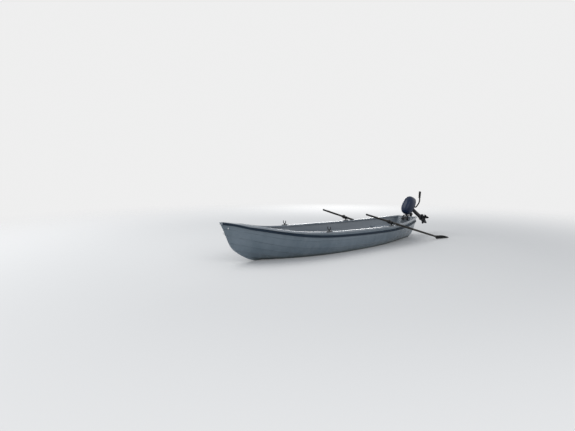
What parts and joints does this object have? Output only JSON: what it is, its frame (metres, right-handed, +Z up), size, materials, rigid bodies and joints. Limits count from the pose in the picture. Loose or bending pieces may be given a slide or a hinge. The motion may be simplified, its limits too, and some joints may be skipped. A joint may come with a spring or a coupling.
{
  "type": "rowing boat",
  "caption": "Clinker-moulded rowing boat with benches, rowlocks, a pair of oars trailing aft and a small outboard motor tilted up on its transom.",
  "frame": {"origin": "amidships on the waterline, in the hull's centre plane", "axes": "+X to the bow, +Y to port, +Z up"},
  "size_m": [5.4603, 1.4852, 1.0799],
  "materials": {
    "bench_gelcoat": "satin blue-grey gelcoat",
    "engine": "cast block",
    "fender_rubber": "matt dark blue-black rubber",
    "galvanised_steel": "dark weathered galvanised steel",
    "grip_rubber": "matt black rubber",
    "gunwale_gelcoat": "glossy light blue-grey gelcoat",
    "hull_gelcoat": "glossy slate blue-grey gelcoat",
    "motor_cowl": "glossy dark navy",
    "motor_metal": "satin dark grey paint",
    "motor_pan": "matt black-blue",
    "oar_plastic": "matt black plastic",
    "oar_wood": "dark weathered spruce",
    "propeller": "satin dark paint",
    "rowlock_pad": "matt black nylon",
    "sole": "matt grey non-slip gelcoat",
    "stainless": "dulled stainless steel",
    "transom_pad": "matt black plastic"
  },
  "bodies": {
    "hull": {"bench_bow": "bench_gelcoat", "bench_stern": "bench_gelcoat", "bow_eye": "stainless", "bow_pad_eye_port": "stainless", "bow_pad_eye_starboard": "stainless", "fender_port": "fender_rubber", "fender_starboard": "fender_rubber", "gunwale": "gunwale_gelcoat", "hull_port": "hull_gelcoat", "hull_starboard": "hull_gelcoat", "hull_stem_and_keel": "hull_gelcoat", "hull_transom": "hull_gelcoat", "motor_clamp_bracket": "motor_metal", "motor_clamp_screw_port": "stainless", "motor_clamp_screw_starboard": "stainless", "motor_tilt_pin": "stainless", "rowlock_pad_aft_port": "rowlock_pad", "rowlock_pad_aft_starboard": "rowlock_pad", "rowlock_pad_fore_port": "rowlock_pad", "rowlock_pad_fore_starboard": "rowlock_pad", "sole": "sole", "thwart_aft": "bench_gelcoat", "thwart_fore": "bench_gelcoat", "transom_pad_inner": "transom_pad", "transom_pad_outer": "transom_pad"},
    "rowlock_fore_port": {"rowlock_fore_port": "galvanised_steel"},
    "rowlock_fore_starboard": {"rowlock_fore_starboard": "galvanised_steel"},
    "rowlock_aft_port": {"rowlock_aft_port": "galvanised_steel"},
    "rowlock_aft_starboard": {"rowlock_aft_starboard": "galvanised_steel"},
    "oar_port": {"oar_port": "oar_wood", "oar_sleeve_port": "oar_plastic", "oar_grip_port": "oar_plastic"},
    "oar_starboard": {"oar_starboard": "oar_wood", "oar_sleeve_starboard": "oar_plastic", "oar_grip_starboard": "oar_plastic"},
    "motor_swivel": {"motor_swivel_bracket": "motor_metal"},
    "motor_head": {"motor_cowl": "motor_cowl", "motor_engine_block": "engine", "motor_leg": "motor_metal", "motor_lower_pan": "motor_pan", "motor_tiller_arm": "motor_metal", "motor_tiller_grip": "grip_rubber"},
    "propeller": {"motor_propeller": "propeller"}
  },
  "joints": [
    {"name": "rowlock_fore_port_swivel", "type": "hinge", "parent": "hull", "child": "rowlock_fore_port", "pos_m": [0.595, 0.55533, 0.42642], "axis": [0, 0, 1], "continuous": true},
    {"name": "rowlock_fore_starboard_swivel", "type": "hinge", "parent": "hull", "child": "rowlock_fore_starboard", "pos_m": [0.595, -0.55533, 0.42642], "axis": [0, 0, 1], "continuous": true},
    {"name": "rowlock_aft_port_swing", "type": "hinge", "parent": "hull", "child": "rowlock_aft_port", "pos_m": [-1.05, 0.56396, 0.3829], "axis": [0, 0, -1], "range_deg": [0, 105]},
    {"name": "rowlock_aft_starboard_swing", "type": "hinge", "parent": "hull", "child": "rowlock_aft_starboard", "pos_m": [-1.05, -0.56396, 0.3829], "axis": [0, 0, -1], "range_deg": [-105, 0]},
    {"name": "oar_port_rock", "type": "hinge", "parent": "rowlock_aft_port", "child": "oar_port", "pos_m": [-1.05, 0.56396, 0.4329], "axis": [0.0993, 0.9951, 0], "range_deg": [0, 14]},
    {"name": "oar_starboard_rock", "type": "hinge", "parent": "rowlock_aft_starboard", "child": "oar_starboard", "pos_m": [-1.05, -0.56396, 0.4329], "axis": [-0.0698, 0.9976, 0], "range_deg": [0, 14]},
    {"name": "motor_tilt", "type": "hinge", "parent": "hull", "child": "motor_swivel", "pos_m": [-2.44, 0, 0.45], "axis": [0, 1, 0], "range_deg": [-58.2, 0]},
    {"name": "motor_steer", "type": "hinge", "parent": "motor_swivel", "child": "motor_head", "pos_m": [-2.5085, 0, 0.56049], "axis": [0.8499, 0, 0.527], "range_deg": [-40, 40]},
    {"name": "propeller_spin", "type": "hinge", "parent": "motor_head", "child": "propeller", "pos_m": [-3.02058, 0, 0.35594], "axis": [0.527, 0, -0.8499], "continuous": true}
  ]
}
